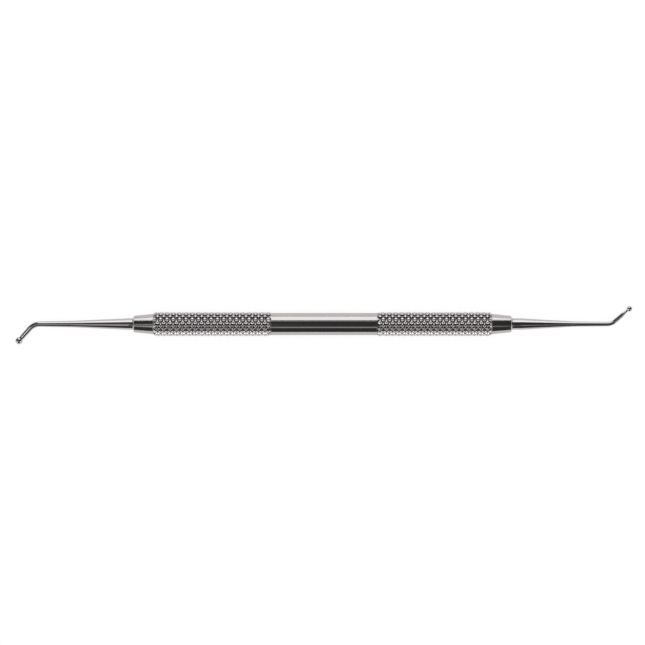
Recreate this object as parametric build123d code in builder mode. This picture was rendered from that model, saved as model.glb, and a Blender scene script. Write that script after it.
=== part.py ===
from build123d import *
from math import cos, radians, sin, sqrt, tan
import os

# Double-ended ball burnisher, in millimetres and degrees.
# It lies on its side on z = 0. The axis of its handle runs along X, straight above y = 0,
# and x = 0 is the middle of the handle. The large ball end points towards -X and the small
# one towards +X. Each end is bent sideways, the large one to -Y and the small one to +Y.

# Handle: one turned bar with a smooth waist, two knurled grips and two conical noses.
waist_diameter = 6.35
waist_length = 30.2
large_side_grip_length = 34.0
small_side_grip_length = 32.4
nose_length = 5.7
nose_base_diameter = 5.83
nose_face_diameter = 4.75
nose_edge_chamfer = 0.22

# Diamond knurl: a right-handed and a left-handed family of grooves that cross each other.
knurl_starts = 11
knurl_pitch = 1.8
knurl_crest_diameter = 6.95
knurl_valley_diameter = 6.1
knurl_end_chamfer = 0.4
knurl_shortest_run_out = 0.6
knurl_step_above_nose = 0.03
knurl_step_below_waist = 0.04

# Both bends lie in one plane. It leans out of the horizontal by this angle, with the large
# ball on the lower side. Both balls stay clear of the surface.
bend_plane_lean = 15

# Seat of each working end in the handle.
tang_diameter = 2.4
tang_length = 12.0
tang_chamfer = 0.3
tang_side_clearance = 0.02
tang_end_clearance = 0.3

# Large ball end. Its shank is measured from the nose to the corner where the leg's line
# crosses the handle's axis, and its leg from that corner to the centre of the ball. The
# shank has a land at the nose, then a cone down to its slim part, which leads to the bend.
large_shank_length = 28.59
large_shank_diameter = 3.3
large_shank_land = 1.3
large_shank_chamfer = 0.25
large_cone_end = 17.0
large_slim_diameter = 1.9
large_bend_angle = 48.2
large_bend_radius = 4.1
large_bend_start_diameter = 1.54
large_bend_end_diameter = 1.5
large_leg_length = 6.63
large_leg_diameter = 1.36
large_neck_taper = 0.3
large_neck_length = 0.2
large_neck_diameter = 1.26
large_ball_diameter = 2.05

# Small ball end, in the same terms. Its leg narrows to a thin neck behind the ball.
small_shank_length = 28.65
small_shank_diameter = 3.3
small_shank_land = 2.5
small_shank_chamfer = 0.25
small_cone_end = 18.2
small_slim_diameter = 1.48
small_bend_angle = 42.3
small_bend_radius = 3.2
small_bend_start_diameter = 1.3
small_bend_end_diameter = 1.22
small_leg_length = 6.67
small_leg_diameter = 1.16
small_neck_taper = 1.3
small_neck_length = 0.3
small_neck_diameter = 0.72
small_ball_diameter = 1.6

# The knurl's crests and valleys take turns on evenly spaced lines along the handle. The
# handle rests on two of these lines, so its axis lies a little lower than a crest is high.
knurl_lines = 2 * knurl_starts
line_spacing = radians(360 / knurl_lines)
crest_radius = knurl_crest_diameter / 2
valley_radius = knurl_valley_diameter / 2
axis_height = crest_radius * cos(line_spacing / 2)

# Places along the handle.
handle_length = 2 * nose_length + large_side_grip_length + waist_length + small_side_grip_length
large_nose_face = -handle_length / 2
large_grip_start = large_nose_face + nose_length
waist_start = large_grip_start + large_side_grip_length
waist_end = waist_start + waist_length
small_grip_end = waist_end + small_side_grip_length
small_nose_face = small_grip_end + nose_length

handle_plane = Plane(origin=(0, 0, axis_height), x_dir=(1, 0, 0), z_dir=(0, -1, 0))
handle_axis = Axis(handle_plane.origin, handle_plane.x_dir)


def knurl_rings(nose_end, waist_side_end):
    """The rings of corners of one grip, each as its x and its radius on every knurl line.

    Crests and valleys swap lines every half pitch. The ring at the nose stands just clear
    of the cone, and the one at the waist ends just below it, where the grooves run out.
    """
    inward = 1 if waist_side_end > nose_end else -1
    half_pitch = knurl_pitch / 2
    room = abs(waist_side_end - nose_end) - knurl_end_chamfer - knurl_shortest_run_out
    nose_ring_radius = (nose_base_diameter / 2 + knurl_step_above_nose) / cos(line_spacing / 2)
    waist_ring_radius = waist_diameter / 2 - knurl_step_below_waist
    rings = [(nose_end, [nose_ring_radius] * knurl_lines)]
    for step in range(int(room / half_pitch) + 1):
        x = nose_end + inward * (knurl_end_chamfer + step * half_pitch)
        radii = [crest_radius if (step + line) % 2 else valley_radius for line in range(knurl_lines)]
        rings.append((x, radii))
    rings.append((waist_side_end, [waist_ring_radius] * knurl_lines))
    return sorted(rings)


def knurl_corner(x, line, radius):
    """The corner at x on one knurl line. Line 0 and the last line are the two lowest."""
    turn = (line + 0.5) * line_spacing
    return (x, radius * sin(turn), axis_height - radius * cos(turn))


def knurled_grip(nose_end, waist_side_end):
    """One grip as a closed solid with four small facets to each diamond and two flat ends."""
    rings = knurl_rings(nose_end, waist_side_end)
    corners = [[knurl_corner(x, line, radius) for line, radius in enumerate(radii)] for x, radii in rings]
    outlines = [corners[0][::-1], corners[-1]]
    for ring in range(len(rings) - 1):
        for line in range(knurl_lines):
            # the next line round, which is the first one again after the last
            beside = line + 1 - knurl_lines
            near, near_beside = corners[ring][line], corners[ring][beside]
            far, far_beside = corners[ring + 1][line], corners[ring + 1][beside]
            one_diagonal = rings[ring][1][line] + rings[ring + 1][1][beside]
            other_diagonal = rings[ring][1][beside] + rings[ring + 1][1][line]
            # each patch is folded along its lower diagonal, the bottom of a groove
            if one_diagonal < other_diagonal:
                outlines += [(near, near_beside, far_beside), (near, far_beside, far)]
            else:
                outlines += [(near, near_beside, far), (near_beside, far_beside, far)]
    return Solid(Shell([Face(Wire.make_polygon(outline)) for outline in outlines]))


def nose_profile(face, base):
    """Half section of a conical nose from its flat face to its base, drawn from the axis out."""
    inward = 1 if base > face else -1
    face_radius = nose_face_diameter / 2
    base_radius = nose_base_diameter / 2
    Polyline(
        (face, 0),
        (face, face_radius - nose_edge_chamfer),
        (face + inward * nose_edge_chamfer, face_radius),
        (base, base_radius),
        (base, 0),
        close=True,
    )


def working_end(
    face,
    outward,
    shank_length,
    shank_diameter,
    shank_land,
    shank_chamfer,
    cone_end,
    slim_diameter,
    bend_angle,
    bend_radius,
    bend_start_diameter,
    bend_end_diameter,
    leg_length,
    leg_diameter,
    neck_taper,
    neck_length,
    neck_diameter,
    ball_diameter,
):
    """Tang, tapered shank, bend, leg, neck and ball as one solid, seated on a nose's face.

    The plane of the bend has its X outwards along the handle's axis, and its Y the way
    that the end bends.
    """
    lean = radians(bend_plane_lean)
    bend_plane = Plane(
        origin=(face, 0, axis_height),
        x_dir=(outward, 0, 0),
        z_dir=(0, -sin(lean), cos(lean)),
    )
    tangent = bend_radius * tan(radians(bend_angle / 2))
    bend_start = shank_length - tangent
    tang_radius = tang_diameter / 2
    shank_radius = shank_diameter / 2
    with BuildPart() as end:
        with BuildSketch(bend_plane):
            with BuildLine():
                Polyline(
                    (-tang_length, 0),
                    (-tang_length, tang_radius - tang_chamfer),
                    (-tang_length + tang_chamfer, tang_radius),
                    (0, tang_radius),
                    (0, shank_radius - shank_chamfer),
                    (shank_chamfer, shank_radius),
                    (shank_land, shank_radius),
                    (cone_end, slim_diameter / 2),
                    (bend_start, bend_start_diameter / 2),
                    (bend_start, 0),
                    close=True,
                )
            make_face()
        revolve(axis=Axis(bend_plane.origin, bend_plane.x_dir))

        with BuildLine(bend_plane) as bend:
            JernArc(start=(bend_start, 0), tangent=(1, 0), radius=bend_radius, arc_size=bend_angle)
        ends = [(0, bend_start_diameter), (1, bend_end_diameter)]
        for place, diameter in ends:
            across = Plane(origin=bend.line @ place, x_dir=bend_plane.z_dir, z_dir=bend.line % place)
            with BuildSketch(across):
                Circle(diameter / 2)
        sweep(multisection=True)

        leg_plane = Plane(origin=bend.line @ 1, x_dir=bend.line % 1, z_dir=bend_plane.z_dir)
        ball_radius = ball_diameter / 2
        neck_radius = neck_diameter / 2
        ball_centre = leg_length - tangent
        neck_end = ball_centre - sqrt(ball_radius**2 - neck_radius**2)
        neck_start = neck_end - neck_length
        with BuildSketch(leg_plane):
            with BuildLine():
                Polyline(
                    (ball_centre + ball_radius, 0),
                    (0, 0),
                    (0, bend_end_diameter / 2),
                    (neck_start - neck_taper, leg_diameter / 2),
                    (neck_start, neck_radius),
                    (neck_end, neck_radius),
                )
                ThreePointArc(
                    (neck_end, neck_radius),
                    (ball_centre, ball_radius),
                    (ball_centre + ball_radius, 0),
                )
            make_face()
        revolve(axis=Axis(leg_plane.origin, leg_plane.x_dir))
    return end


with BuildPart() as handle:
    with BuildSketch(handle_plane):
        with BuildLine():
            nose_profile(large_nose_face, large_grip_start)
        make_face()
        with BuildLine():
            nose_profile(small_nose_face, small_grip_end)
        make_face()
        with Locations((waist_start, 0)):
            Rectangle(waist_length, waist_diameter / 2, align=(Align.MIN, Align.MIN))
    revolve(axis=handle_axis)
    add(knurled_grip(large_grip_start, waist_start))
    add(knurled_grip(small_grip_end, waist_end))
    for face, outward in [(large_nose_face, -1), (small_nose_face, 1)]:
        with Locations(Plane(origin=(face, 0, axis_height), z_dir=(outward, 0, 0))):
            Hole(tang_diameter / 2 + tang_side_clearance, depth=tang_length + tang_end_clearance)

large_ball_end = working_end(
    face=large_nose_face,
    outward=-1,
    shank_length=large_shank_length,
    shank_diameter=large_shank_diameter,
    shank_land=large_shank_land,
    shank_chamfer=large_shank_chamfer,
    cone_end=large_cone_end,
    slim_diameter=large_slim_diameter,
    bend_angle=large_bend_angle,
    bend_radius=large_bend_radius,
    bend_start_diameter=large_bend_start_diameter,
    bend_end_diameter=large_bend_end_diameter,
    leg_length=large_leg_length,
    leg_diameter=large_leg_diameter,
    neck_taper=large_neck_taper,
    neck_length=large_neck_length,
    neck_diameter=large_neck_diameter,
    ball_diameter=large_ball_diameter,
)

small_ball_end = working_end(
    face=small_nose_face,
    outward=1,
    shank_length=small_shank_length,
    shank_diameter=small_shank_diameter,
    shank_land=small_shank_land,
    shank_chamfer=small_shank_chamfer,
    cone_end=small_cone_end,
    slim_diameter=small_slim_diameter,
    bend_angle=small_bend_angle,
    bend_radius=small_bend_radius,
    bend_start_diameter=small_bend_start_diameter,
    bend_end_diameter=small_bend_end_diameter,
    leg_length=small_leg_length,
    leg_diameter=small_leg_diameter,
    neck_taper=small_neck_taper,
    neck_length=small_neck_length,
    neck_diameter=small_neck_diameter,
    ball_diameter=small_ball_diameter,
)

os.makedirs("parts", exist_ok=True)
handle.part.label = "handle"
export_step(handle.part, "parts/handle.step")
large_ball_end.part.label = "large_ball_end"
export_step(large_ball_end.part, "parts/large_ball_end.step")
small_ball_end.part.label = "small_ball_end"
export_step(small_ball_end.part, "parts/small_ball_end.step")
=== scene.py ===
import math

import bpy
import numpy as np
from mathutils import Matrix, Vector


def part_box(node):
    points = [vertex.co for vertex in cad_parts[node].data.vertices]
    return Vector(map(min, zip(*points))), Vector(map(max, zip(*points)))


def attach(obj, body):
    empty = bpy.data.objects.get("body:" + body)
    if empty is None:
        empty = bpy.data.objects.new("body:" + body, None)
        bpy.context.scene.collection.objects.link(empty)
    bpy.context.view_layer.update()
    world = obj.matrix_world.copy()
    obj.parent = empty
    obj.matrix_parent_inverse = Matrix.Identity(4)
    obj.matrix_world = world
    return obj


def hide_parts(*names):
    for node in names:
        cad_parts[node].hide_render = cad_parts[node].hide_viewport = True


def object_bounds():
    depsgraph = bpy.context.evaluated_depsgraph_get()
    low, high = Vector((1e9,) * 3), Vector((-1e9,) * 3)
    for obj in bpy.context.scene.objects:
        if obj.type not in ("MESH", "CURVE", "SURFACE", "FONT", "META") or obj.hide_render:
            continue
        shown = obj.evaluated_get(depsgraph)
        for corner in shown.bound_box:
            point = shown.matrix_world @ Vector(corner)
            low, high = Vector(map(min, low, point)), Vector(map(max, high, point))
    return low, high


# Double-ended ball burnisher of stainless steel, lying on a pale surface and seen from above.
# Sizes in the dictionaries are millimetres and degrees, but for the floor and the lamps, which
# are in metres like the scene.

mm = 0.001
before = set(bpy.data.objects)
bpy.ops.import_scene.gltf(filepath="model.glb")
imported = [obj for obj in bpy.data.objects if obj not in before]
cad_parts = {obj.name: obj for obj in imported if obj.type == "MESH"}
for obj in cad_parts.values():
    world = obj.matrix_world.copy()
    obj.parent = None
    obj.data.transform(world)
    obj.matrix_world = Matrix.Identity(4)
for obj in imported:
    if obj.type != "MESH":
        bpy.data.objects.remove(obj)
cadLow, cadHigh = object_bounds()
handleLow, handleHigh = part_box("handle")
axisHeight = (handleLow.z + handleHigh.z) / 2 / mm  # the handle's axis lies this high
crestRadius = (handleHigh.y - handleLow.y) / 2 / mm
largeFace = handleLow.x / mm  # the flat faces that the working ends stand on
smallFace = handleHigh.x / mm
print("frame loaded, axis", round(axisHeight, 3), "mm above the surface")


# Camera

cameraSetup = {
    "height": 553.4,  # of the lens above the surface
    "sideways": 0.44,  # towards +Y, so that the handle is as high in the picture as in the photo
    "lens": 107.33,
    "sensor": 36.0,
    "nearest": 10.0,  # nothing closer to the lens is drawn
}


def makeCamera(setup):
    # It looks straight down, with +Y at the top of the picture.
    data = bpy.data.cameras.new("camera")
    data.lens = setup["lens"]
    data.sensor_width = setup["sensor"]
    data.clip_start = setup["nearest"] * mm
    camera = bpy.data.objects.new("camera", data)
    camera.location = (0, setup["sideways"] * mm, setup["height"] * mm)
    bpy.context.scene.collection.objects.link(camera)
    bpy.context.scene.camera = camera


makeCamera(cameraSetup)
print("camera made")


# Surfaces from rings


def tubeTriangles(ringCount, around, radii):
    # Triangles of a closed tube: a fan at each pole, and between two rings two triangles for
    # each cell, folded along the diagonal whose two ends lie nearer to the axis.
    ring = np.arange(ringCount - 1)[:, None]
    spoke = np.arange(around)
    beside = (spoke + 1) % around
    near = 1 + ring * around + spoke
    nearBeside = 1 + ring * around + beside
    far = near + around
    farBeside = nearBeside + around
    radiiBeside = np.roll(radii, -1, axis=1)
    oneDiagonal = radii[:-1] + radiiBeside[1:]
    otherDiagonal = radiiBeside[:-1] + radii[1:]
    folded = (oneDiagonal < otherDiagonal)[..., None]
    one = np.where(
        folded,
        np.stack([near, nearBeside, farBeside], -1),
        np.stack([near, nearBeside, far], -1),
    )
    two = np.where(
        folded,
        np.stack([near, farBeside, far], -1),
        np.stack([nearBeside, farBeside, far], -1),
    )
    lastRing = 1 + (ringCount - 1) * around
    lastPole = 1 + ringCount * around
    firstFan = np.stack([np.zeros(around, int), 1 + beside, 1 + spoke], -1)
    lastFan = np.stack([np.full(around, lastPole), lastRing + spoke, lastRing + beside], -1)
    return np.concatenate([firstFan, one.reshape(-1, 3), two.reshape(-1, 3), lastFan])


def makePiece(name, points, triangles, sharpAngle):
    # Points come in millimetres. Only edges that turn by more than the angle look sharp.
    mesh = bpy.data.meshes.new(name)
    mesh.from_pydata((points * mm).tolist(), [], triangles.tolist())
    mesh.polygons.foreach_set("use_smooth", np.ones(len(mesh.polygons), bool))
    mesh.set_sharp_from_angle(angle=math.radians(sharpAngle))
    mesh.update()
    piece = bpy.data.objects.new(name, mesh)
    bpy.context.scene.collection.objects.link(piece)
    return piece


def softCorners(profile, radius, steps=4, mostOfRun=0.45):
    # A profile of straight runs with each inner corner rounded by a curve that leaves the
    # corner by the radius on both sides: a point is the mean of the two runs' points and the
    # corner itself, weighted (1-t)(1-t), 2t(1-t) and tt. On a short run, the curve takes no
    # more than its share mostOfRun.
    points = np.array(profile, float)
    rounded = [points[0]]
    t = np.linspace(0, 1, steps + 1)[:, None]
    for before, corner, after in zip(points[:-2], points[1:-1], points[2:]):
        back = before - corner
        ahead = after - corner
        reachBack = min(radius / np.linalg.norm(back), mostOfRun)
        reachAhead = min(radius / np.linalg.norm(ahead), mostOfRun)
        start = corner + back * reachBack
        end = corner + ahead * reachAhead
        rounded.extend((1 - t) ** 2 * start + 2 * t * (1 - t) * corner + t**2 * end)
    rounded.append(points[-1])
    return np.array(rounded)


# Handle

handleSizes = {
    "waistDiameter": 6.35,
    "largeSideGrip": 34.0,
    "smallSideGrip": 32.4,
    "noseLength": 5.7,
    "noseBaseDiameter": 5.83,
    "noseFaceDiameter": 4.75,
    "noseEdge": 0.22,
    "edgeRound": 0.05,
    "boreDiameter": 2.44,
    "boreDepth": 12.3,
    "floorRing": 0.5,  # the bore's flat bottom has a ring at this share of its radius
}

waistRings = {
    "close": [0.01, 0.06, 0.2],  # rings close to the grips keep the waist's shading even
    "evenFrom": 1.0,  # the other rings are even, and start this far from each grip
    "evenCount": 26,
}

knurl = {
    "starts": 11,  # of the right-handed grooves, and as many left-handed ones
    "pitch": 1.8,
    "valleyRadius": 3.05,
    "firstRing": 0.4,  # from the nose to the first crossing of the grooves
    "noseStep": 0.03,  # the grip stands out from the nose by this much
    "chamferSlope": 1.1,  # of the cone that trims the grip at the nose
    "outline": 6.0,  # 2 makes each diamond an ellipse from above, and more makes it sharper
    "flat": 0.33,  # share of the way from a diamond's centre to its edge that is flat
    "flank": 1.05,  # 1 makes its sides plain, and more rounds the edge of its top
    "cellsEachWay": 7,  # cells of the mesh from a crest to a crossing, along and round
    "sharpAngle": 42,
}


def knurlCells(along, across):
    # Where a point lies among the diamonds. The two families of grooves are the whole numbers
    # of half the sum and half the difference of its place along and across, both counted in
    # half pitches. Gives each family's share of the way, and the row of the diamond's centre.
    sumHalf = (along + across) / 2
    differenceHalf = (along - across) / 2
    row = np.floor(sumHalf) + np.floor(differenceHalf) + 1
    return sumHalf % 1, differenceHalf % 1, row


def knurlRadius(along, across, lastRow, waistRadius):
    # The distance from a diamond's centre is measured as a superellipse. Its height is one on
    # the flat top, and from there one minus a power of the way down to the groove. Past the
    # last full row, only the sides towards the nose are cut, and the metal between them is as
    # high as the waist.
    power = knurl["outline"]
    shareOne, shareTwo, row = knurlCells(along, across)
    partial = row > lastRow
    toOne = 1 - 2 * shareOne
    toTwo = 1 - 2 * shareTwo
    toOne = np.where(partial, np.maximum(toOne, 0), np.abs(toOne))
    toTwo = np.where(partial, np.maximum(toTwo, 0), np.abs(toTwo))
    distance = (toOne**power + toTwo**power) ** (1 / power)
    down = np.clip((distance - knurl["flat"]) / (1 - knurl["flat"]), 0, 1)
    height = 1 - down ** knurl["flank"]
    radius = knurl["valleyRadius"] + (crestRadius - knurl["valleyRadius"]) * height
    radius = np.where(partial, np.minimum(radius, waistRadius), radius)
    return np.where(row > lastRow + 1, waistRadius, radius)


def gripRings(gripLength, across):
    # Rings of one grip, from the nose to the waist: their distance from the nose, and their
    # radius on every line. The nose end is cut by a cone, as a turned chamfer is.
    halfPitch = knurl["pitch"] / 2
    spacing = halfPitch / knurl["cellsEachWay"]
    waistRadius = handleSizes["waistDiameter"] / 2
    edgeRadius = handleSizes["noseBaseDiameter"] / 2 + knurl["noseStep"]
    lastRow = round((gripLength - knurl["firstRing"]) / halfPitch) - 1
    first = -math.floor(knurl["firstRing"] / spacing)
    last = (lastRow + 1) * knurl["cellsEachWay"]
    along = np.arange(first, last + 1) / knurl["cellsEachWay"]
    distance = knurl["firstRing"] + along * halfPitch
    radii = knurlRadius(along[:, None], across[None, :], lastRow, waistRadius)
    chamfer = edgeRadius + distance * knurl["chamferSlope"]
    return distance, np.minimum(radii, chamfer[:, None])


def noseProfile():
    # Half section from the bottom of the bore to the root of the grip, as distance from the
    # nose's face and radius.
    sizes = handleSizes
    bore = sizes["boreDiameter"] / 2
    edge = sizes["noseFaceDiameter"] / 2
    base = sizes["noseBaseDiameter"] / 2
    profile = [
        (sizes["boreDepth"], bore * sizes["floorRing"]),
        (sizes["boreDepth"], bore),
        (0, bore),
        (0, edge - sizes["noseEdge"]),
        (sizes["noseEdge"], edge),
        (sizes["noseLength"], base),
        (sizes["noseLength"], base + knurl["noseStep"]),
    ]
    return softCorners(profile, sizes["edgeRound"])


def makeHandle():
    # One closed surface about the axis: bore, nose, grip, waist, grip, nose, bore. A point lies
    # at its ring's place along the axis, and off it by its radius times the sine of its turn
    # sideways and times the cosine of its turn downwards.
    lines = 2 * knurl["starts"]
    around = lines * knurl["cellsEachWay"]
    across = np.arange(around) / knurl["cellsEachWay"]
    turn = (across + 0.5) * 2 * math.pi / lines  # line 0 lies just beside the lowest place
    nose = noseProfile()
    ringX = []
    ringRadii = []
    for face, inward, gripLength in [
        (largeFace, 1, handleSizes["largeSideGrip"]),
        (smallFace, -1, handleSizes["smallSideGrip"]),
    ]:
        distance, radii = gripRings(gripLength, across)
        x = np.concatenate([nose[:, 0], handleSizes["noseLength"] + distance])
        r = np.concatenate([np.repeat(nose[:, 1:], around, axis=1), radii])
        ringX.append(face + inward * x)
        ringRadii.append(r)
    close = np.array(waistRings["close"])
    evenStart = ringX[0][-1] + waistRings["evenFrom"]
    evenEnd = ringX[1][-1] - waistRings["evenFrom"]
    waistX = np.concatenate(
        [
            ringX[0][-1] + close,
            np.linspace(evenStart, evenEnd, waistRings["evenCount"]),
            ringX[1][-1] - close[::-1],
        ]
    )
    waistSteps = len(waistX)
    waistRadii = np.full((waistSteps, around), handleSizes["waistDiameter"] / 2)
    x = np.concatenate([ringX[0], waistX, ringX[1][::-1]])
    radii = np.concatenate([ringRadii[0], waistRadii, ringRadii[1][::-1]])
    rings = np.stack(
        [
            np.repeat(x[:, None], around, axis=1),
            radii * np.sin(turn),
            axisHeight - radii * np.cos(turn),
        ],
        -1,
    )
    poles = [[x[0], 0, axisHeight], [x[-1], 0, axisHeight]]
    points = np.concatenate([[poles[0]], rings.reshape(-1, 3), [poles[1]]])
    triangles = tubeTriangles(len(x), around, radii)
    piece = makePiece("knurledHandle", points, triangles, knurl["sharpAngle"])

    # whether each point is on a grip, and how deep in a groove, from 0 at a crest to 1
    isGrip = np.zeros(radii.shape)
    isGrip[len(nose) : len(ringX[0])] = 1
    isGrip[len(ringX[0]) + waistSteps : len(x) - len(nose)] = 1
    depth = (crestRadius - radii) / (crestRadius - knurl["valleyRadius"]) * isGrip
    for name, values in [("knurled", isGrip), ("grooveDepth", depth)]:
        attribute = piece.data.attributes.new(name, "FLOAT", "POINT")
        attribute.data.foreach_set("value", np.concatenate([[0], values.ravel(), [0]]))
    return piece


# Working ends

bendLean = 15  # the plane of both bends leans out of the horizontal by this angle

tang = {
    "diameter": 2.4,
    "length": 12.0,
    "chamfer": 0.3,
    "endRing": 0.4,  # its flat end has a ring at this share of its radius
}

largeEnd = {
    "shankLength": 28.59,
    "shankDiameter": 3.3,
    "land": 1.3,  # the shank's straight part at the handle
    "chamfer": 0.25,
    "coneEnd": 17.0,  # this far from the handle
    "slimDiameter": 1.9,  # at the end of the cone
    "bendAngle": 48.2,
    "bendRadius": 4.1,
    "bendStartDiameter": 1.54,
    "bendEndDiameter": 1.5,
    "legLength": 6.63,
    "legDiameter": 1.36,
    "neckTaper": 0.3,  # the leg narrows to the neck over this length
    "neckLength": 0.2,
    "neckDiameter": 1.26,
    "ballDiameter": 2.05,
}

smallEnd = {
    "shankLength": 28.65,
    "shankDiameter": 3.3,
    "land": 2.5,
    "chamfer": 0.25,
    "coneEnd": 18.2,
    "slimDiameter": 1.48,
    "bendAngle": 42.3,
    "bendRadius": 3.2,
    "bendStartDiameter": 1.3,
    "bendEndDiameter": 1.22,
    "legLength": 6.67,
    "legDiameter": 1.16,
    "neckTaper": 1.3,
    "neckLength": 0.3,
    "neckDiameter": 0.72,
    "ballDiameter": 1.6,
}

endMesh = {
    "around": 72,
    "longestRun": 0.16,  # between two rings
    "ballSteps": 30,
    "edgeRound": 0.08,
    "kneeRound": 1.2,  # where the cone of the shank meets its slim part
    "neckRound": 0.35,
    "sharpAngle": 40,
}


def evenRings(profile, longest):
    # A profile with new points put evenly into each run that is longer than allowed.
    rings = [profile[:1]]
    for start, end in zip(profile[:-1], profile[1:]):
        steps = max(1, math.ceil(np.linalg.norm(end - start) / longest))
        rings.append(np.linspace(start, end, steps + 1)[1:])
    return np.concatenate(rings)


def endProfile(sizes):
    # Distance along the bent centre line and radius, from the tang's end to the tip of the
    # ball. The ball is divided evenly by its angle.
    bend = math.radians(sizes["bendAngle"])
    tangent = sizes["bendRadius"] * math.tan(bend / 2)
    bendStart = sizes["shankLength"] - tangent
    bendEnd = bendStart + sizes["bendRadius"] * bend
    ballCentre = bendEnd + sizes["legLength"] - tangent
    ball = sizes["ballDiameter"] / 2
    neck = sizes["neckDiameter"] / 2
    neckEnd = ballCentre - math.sqrt(ball**2 - neck**2)
    neckStart = neckEnd - sizes["neckLength"]
    tangRadius = tang["diameter"] / 2
    shank = sizes["shankDiameter"] / 2
    slim = sizes["slimDiameter"] / 2
    middle = (sizes["land"] + sizes["coneEnd"]) / 2
    root = [
        (-tang["length"], tangRadius * tang["endRing"]),
        (-tang["length"], tangRadius - tang["chamfer"]),
        (-tang["length"] + tang["chamfer"], tangRadius),
        (0, tangRadius),
        (0, shank - sizes["chamfer"]),
        (sizes["chamfer"], shank),
        (sizes["land"], shank),
        (middle, (shank + slim) / 2),
    ]
    knee = [
        (middle, (shank + slim) / 2),
        (sizes["coneEnd"], slim),
        (bendStart, sizes["bendStartDiameter"] / 2),
    ]
    leg = [
        (bendStart, sizes["bendStartDiameter"] / 2),
        (bendEnd, sizes["bendEndDiameter"] / 2),
        (neckStart - sizes["neckTaper"], sizes["legDiameter"] / 2),
        (neckStart, neck),
        (neckEnd, neck),
    ]
    turn = np.linspace(math.pi - math.asin(neck / ball), 0, endMesh["ballSteps"] + 1)[1:-1]
    profile = np.concatenate(
        [
            softCorners(root, endMesh["edgeRound"])[:-1],
            softCorners(knee, endMesh["kneeRound"])[:-1],
            softCorners(leg, endMesh["neckRound"]),
        ]
    )
    ballRun = np.stack([ballCentre + ball * np.cos(turn), ball * np.sin(turn)], -1)
    profile = np.concatenate([evenRings(profile, endMesh["longestRun"]), ballRun])
    return profile, bendStart, bend, ballCentre + ball


def bentLine(distance, bendStart, bend, radius):
    # The centre line in its own plane: straight, then a circle's arc, then straight again
    # along the arc's last direction. Gives its points and its directions.
    angle = np.clip((distance - bendStart) / radius, 0, bend)
    beyond = np.maximum(distance - bendStart - radius * bend, 0)
    before = np.minimum(distance, bendStart)
    x = before + radius * np.sin(angle) + beyond * np.cos(angle)
    y = radius * (1 - np.cos(angle)) + beyond * np.sin(angle)
    return np.stack([x, y], -1), np.stack([np.cos(angle), np.sin(angle)], -1)


def makeEnd(name, sizes, face, outward):
    # A circle carried along the bent centre line. A point is the centre plus the profile's
    # radius times the cosine of its turn in the plane of the bend, and the sine across it.
    profile, bendStart, bend, tip = endProfile(sizes)
    lean = math.radians(bendLean)
    origin = np.array([face, 0, axisHeight])
    outwards = np.array([outward, 0, 0])
    upright = np.array([0, -math.sin(lean), math.cos(lean)])
    sideways = np.cross(upright, outwards)
    places = np.concatenate([[-tang["length"]], profile[:, 0], [tip]])
    line, direction = bentLine(places, bendStart, bend, sizes["bendRadius"])
    centres = origin + line[:, :1] * outwards + line[:, 1:] * sideways
    beside = direction[:, :1] * sideways - direction[:, 1:] * outwards
    around = endMesh["around"]
    turn = np.arange(around) * 2 * math.pi / around
    radii = np.repeat(profile[:, 1:], around, axis=1)
    cosine = np.cos(turn)[None, :, None]
    sine = np.sin(turn)[None, :, None]
    across = cosine * beside[1:-1, None, :] + sine * upright
    rings = centres[1:-1, None, :] + radii[..., None] * across
    points = np.concatenate([centres[:1], rings.reshape(-1, 3), centres[-1:]])
    triangles = tubeTriangles(len(profile), around, radii)
    return makePiece(name, points, triangles, endMesh["sharpAngle"])


# Steel

handleSteel = {
    "colour": (0.521, 0.497, 0.493),
    "worn": (0.471, 0.449, 0.445),  # the tone wanders between these two
    "edge": (0.8, 0.8, 0.8),  # tint where it is seen along its surface
    "roughness": 0.13,
    "roughnessSpread": 0.06,
    "markSize": 0.09,  # width of a turning mark
    "markHeight": 0.0012,
    "crestColour": (0.76, 0.718, 0.724),  # the knurl's crests are cut bright
    # painted shade: a dark colour for the grooves, mixed in with their depth
    "paintedGrooveShade": (0.29, 0.271, 0.274),
    "grooveRoughness": 0.32,
    "grooveStart": 0.25,  # share of the depth at which the grooves' painted shade and dullness set in
}

tipSteel = {
    "colour": (0.557, 0.535, 0.535),
    "worn": (0.507, 0.487, 0.487),
    "edge": (0.8, 0.8, 0.8),
    "roughness": 0.08,
    "roughnessSpread": 0.04,
    "markSize": 0.07,
    "markHeight": 0.0005,
}

noise = {
    "toneScale": 140,
    "toneDetail": 4,
    "marksRound": 60,  # how fine the turning marks are round the piece, far less than along it
    "marksDetail": 3,
}


def colourOf(rgb):
    # The same colour with full opacity.
    return (*rgb, 1)


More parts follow.
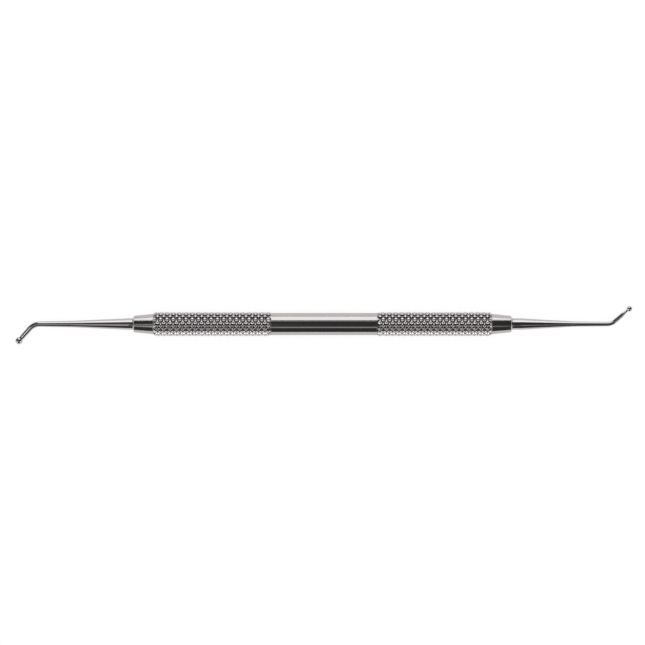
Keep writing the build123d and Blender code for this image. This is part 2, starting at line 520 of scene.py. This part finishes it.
def steelMaterial(name, look):
    # Metal between two tones, with turning marks in its bump and its roughness. A look with a
    #  painted groove shade also follows the knurl: painted shade darkens the grooves with depth.
    material = bpy.data.materials.new(name)
    material.use_nodes = True
    nodes = material.node_tree.nodes
    links = material.node_tree.links
    steel = nodes["Principled BSDF"]
    steel.inputs["Metallic"].default_value = 1
    steel.inputs["Specular Tint"].default_value = colourOf(look["edge"])
    place = nodes.new("ShaderNodeTexCoord")

    # slow changes of tone along the piece
    tone = nodes.new("ShaderNodeTexNoise")
    tone.inputs["Scale"].default_value = noise["toneScale"]
    tone.inputs["Detail"].default_value = noise["toneDetail"]
    links.new(place.outputs["Object"], tone.inputs["Vector"])
    colour = nodes.new("ShaderNodeMix")
    colour.data_type = "RGBA"
    colour.inputs["A"].default_value = colourOf(look["colour"])
    colour.inputs["B"].default_value = colourOf(look["worn"])
    links.new(tone.outputs["Fac"], colour.inputs["Factor"])

    # turning marks: fine along the axis, drawn out round it
    stretch = nodes.new("ShaderNodeMapping")
    marksAlong = 1 / (look["markSize"] * mm)
    marksRound = noise["marksRound"]
    stretch.inputs["Scale"].default_value = (marksAlong, marksRound, marksRound)
    links.new(place.outputs["Object"], stretch.inputs["Vector"])
    marks = nodes.new("ShaderNodeTexNoise")
    marks.inputs["Scale"].default_value = 1
    marks.inputs["Detail"].default_value = noise["marksDetail"]
    links.new(stretch.outputs["Vector"], marks.inputs["Vector"])
    bump = nodes.new("ShaderNodeBump")
    bump.inputs["Distance"].default_value = look["markHeight"] * mm
    links.new(marks.outputs["Fac"], bump.inputs["Height"])
    links.new(bump.outputs["Normal"], steel.inputs["Normal"])

    roughness = nodes.new("ShaderNodeMapRange")
    roughness.inputs["To Min"].default_value = look["roughness"] - look["roughnessSpread"] / 2
    roughness.inputs["To Max"].default_value = look["roughness"] + look["roughnessSpread"] / 2
    links.new(marks.outputs["Fac"], roughness.inputs["Value"])

    if "paintedGrooveShade" in look:  # crests brighter than smooth metal; painted shade darkens the grooves, which are also duller
        knurled = nodes.new("ShaderNodeAttribute")
        knurled.attribute_name = "knurled"
        bright = nodes.new("ShaderNodeMix")
        bright.data_type = "RGBA"
        bright.inputs["B"].default_value = colourOf(look["crestColour"])
        links.new(knurled.outputs["Fac"], bright.inputs["Factor"])
        links.new(colour.outputs["Result"], bright.inputs["A"])
        depth = nodes.new("ShaderNodeAttribute")
        depth.attribute_name = "grooveDepth"
        deep = nodes.new("ShaderNodeMapRange")
        deep.interpolation_type = "SMOOTHSTEP"
        deep.inputs["From Min"].default_value = look["grooveStart"]
        links.new(depth.outputs["Fac"], deep.inputs["Value"])
        # painted shade, darker the deeper a point lies in a groove
        paintedShade = nodes.new("ShaderNodeMix")
        paintedShade.data_type = "RGBA"
        paintedShade.inputs["B"].default_value = colourOf(look["paintedGrooveShade"])
        links.new(deep.outputs["Result"], paintedShade.inputs["Factor"])
        links.new(bright.outputs["Result"], paintedShade.inputs["A"])
        links.new(paintedShade.outputs["Result"], steel.inputs["Base Color"])
        dull = nodes.new("ShaderNodeMix")
        dull.inputs["B"].default_value = look["grooveRoughness"]
        links.new(deep.outputs["Result"], dull.inputs["Factor"])
        links.new(roughness.outputs["Result"], dull.inputs["A"])
        links.new(dull.outputs["Result"], steel.inputs["Roughness"])
    else:
        links.new(colour.outputs["Result"], steel.inputs["Base Color"])
        links.new(roughness.outputs["Result"], steel.inputs["Roughness"])
    return material


handle = makeHandle()
handle.data.materials.append(steelMaterial("handleSteel", handleSteel))
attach(handle, "root")
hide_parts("handle")
print("handle made,", len(handle.data.polygons), "triangles")

tipMaterial = steelMaterial("tipSteel", tipSteel)
for name, node, sizes, face, outward in [
    ("largeBallEnd", "large_ball_end", largeEnd, largeFace, -1),
    ("smallBallEnd", "small_ball_end", smallEnd, smallFace, 1),
]:
    end = makeEnd(name, sizes, face, outward)
    end.data.materials.append(tipMaterial)
    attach(end, "root")
    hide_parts(node)
    print(name, "made,", len(end.data.polygons), "triangles")


# Floor and light

floorLook = {
    "halfWidth": 3.0,
    "frontEdge": 0.13,  # the paper ends this far in front of the handle
    "colour": (0.9, 0.9, 0.9),
    "shadowShare": 0.12,  # of the floor's own shading, beside plain white
}

lamps = {
    "softbox": {
        "place": (-0.0075, 0.45, 0.29),
        "turn": (-90, 0, 0),
        "size": (0.505, 0.50),
        "power": 1.26,
        "inMetal": True,  # whether metal reflects it
    },
    "overhead": {
        "place": (0, 0, 1.5),
        "turn": (0, 0, 0),
        "size": (1.5, 1.5),
        "power": 27,
        "inMetal": False,
    },
}

studio = {
    "dark": 0.045,  # strength of the room between the glows
    # each glow: azimuth from +X, elevation, inner and outer radius, strength
    "glows": [
        (243, 56, 2, 9, 0.9),
        (211, 75, 4, 12, 0.42),
        (203, 58, 1, 8, 2.8),
        (270, 55, 1, 9, 0.42),
        (299, 58, 2, 8, 0.45),
        (90, 60, 2, 8, 0.22),
        (217, 20, 12, 22, 2.0),
        (323, 20, 12, 22, 2.0),
    ],
}


def makeFloor(look):
    # A flat sheet of paper. To the camera, and in metal and glass, it is plain white mixed with
    # the share of its own shading that shows the shadow. To all other light it is paper.
    half = look["halfWidth"]
    front = -look["frontEdge"]
    mesh = bpy.data.meshes.new("floor")
    corners = [(-half, front), (half, front), (half, half), (-half, half)]
    mesh.from_pydata([(x, y, cadLow.z) for x, y in corners], [], [(0, 1, 2, 3)])
    floor = bpy.data.objects.new("floor", mesh)
    bpy.context.scene.collection.objects.link(floor)
    material = bpy.data.materials.new("floorPaper")
    material.use_nodes = True
    nodes = material.node_tree.nodes
    links = material.node_tree.links
    nodes.clear()
    paper = nodes.new("ShaderNodeBsdfDiffuse")
    paper.inputs["Color"].default_value = colourOf(look["colour"])
    white = nodes.new("ShaderNodeEmission")
    path = nodes.new("ShaderNodeLightPath")
    seen = path.outputs["Is Camera Ray"]
    for ray in ["Is Glossy Ray", "Is Transmission Ray"]:
        either = nodes.new("ShaderNodeMath")
        either.operation = "MAXIMUM"
        links.new(seen, either.inputs[0])
        links.new(path.outputs[ray], either.inputs[1])
        seen = either.outputs[0]
    share = nodes.new("ShaderNodeMath")
    share.operation = "MULTIPLY"
    share.inputs[1].default_value = 1 - look["shadowShare"]
    links.new(seen, share.inputs[0])
    mix = nodes.new("ShaderNodeMixShader")
    links.new(share.outputs[0], mix.inputs["Fac"])
    links.new(paper.outputs[0], mix.inputs[1])
    links.new(white.outputs[0], mix.inputs[2])
    output = nodes.new("ShaderNodeOutputMaterial")
    links.new(mix.outputs[0], output.inputs["Surface"])
    floor.data.materials.append(material)


def makeLamp(name, setup):
    # A rectangle of light that the camera doesn't see.
    data = bpy.data.lights.new(name, "AREA")
    data.shape = "RECTANGLE"
    data.size, data.size_y = setup["size"]
    data.energy = setup["power"]
    lamp = bpy.data.objects.new(name, data)
    lamp.location = setup["place"]
    lamp.rotation_euler = [math.radians(angle) for angle in setup["turn"]]
    lamp.visible_camera = False
    lamp.visible_glossy = setup["inMetal"]
    bpy.context.scene.collection.objects.link(lamp)


def makeWorld(setup):
    # A dark room with a few soft glows, each of which fades with the angle from its centre,
    # and white where the camera sees past the floor.
    world = bpy.data.worlds.new("studio")
    world.use_nodes = True
    nodes = world.node_tree.nodes
    links = world.node_tree.links
    background = nodes["Background"]
    place = nodes.new("ShaderNodeTexCoord")
    dark = nodes.new("ShaderNodeValue")
    dark.outputs[0].default_value = setup["dark"]
    total = dark.outputs[0]
    for azimuth, elevation, inner, outer, strength in setup["glows"]:
        turn = math.radians(azimuth)
        rise = math.radians(elevation)
        direction = (
            math.cos(turn) * math.cos(rise),
            math.sin(turn) * math.cos(rise),
            math.sin(rise),
        )
        towards = nodes.new("ShaderNodeVectorMath")
        towards.operation = "DOT_PRODUCT"
        towards.inputs[1].default_value = direction
        links.new(place.outputs["Generated"], towards.inputs[0])
        glow = nodes.new("ShaderNodeMapRange")
        glow.interpolation_type = "SMOOTHSTEP"
        glow.inputs["From Min"].default_value = math.cos(math.radians(outer))
        glow.inputs["From Max"].default_value = math.cos(math.radians(inner))
        glow.inputs["To Max"].default_value = strength
        links.new(towards.outputs["Value"], glow.inputs["Value"])
        add = nodes.new("ShaderNodeMath")
        links.new(total, add.inputs[0])
        links.new(glow.outputs["Result"], add.inputs[1])
        total = add.outputs[0]
    path = nodes.new("ShaderNodeLightPath")
    seen = nodes.new("ShaderNodeMath")
    seen.operation = "MAXIMUM"
    links.new(path.outputs["Is Camera Ray"], seen.inputs[0])
    links.new(total, seen.inputs[1])
    links.new(seen.outputs[0], background.inputs["Strength"])
    background.inputs["Color"].default_value = (1, 1, 1, 1)
    bpy.context.scene.world = world


makeFloor(floorLook)
for name, setup in lamps.items():
    makeLamp(name, setup)
makeWorld(studio)
bpy.context.scene.view_settings.view_transform = "Standard"
print("floor and light made")
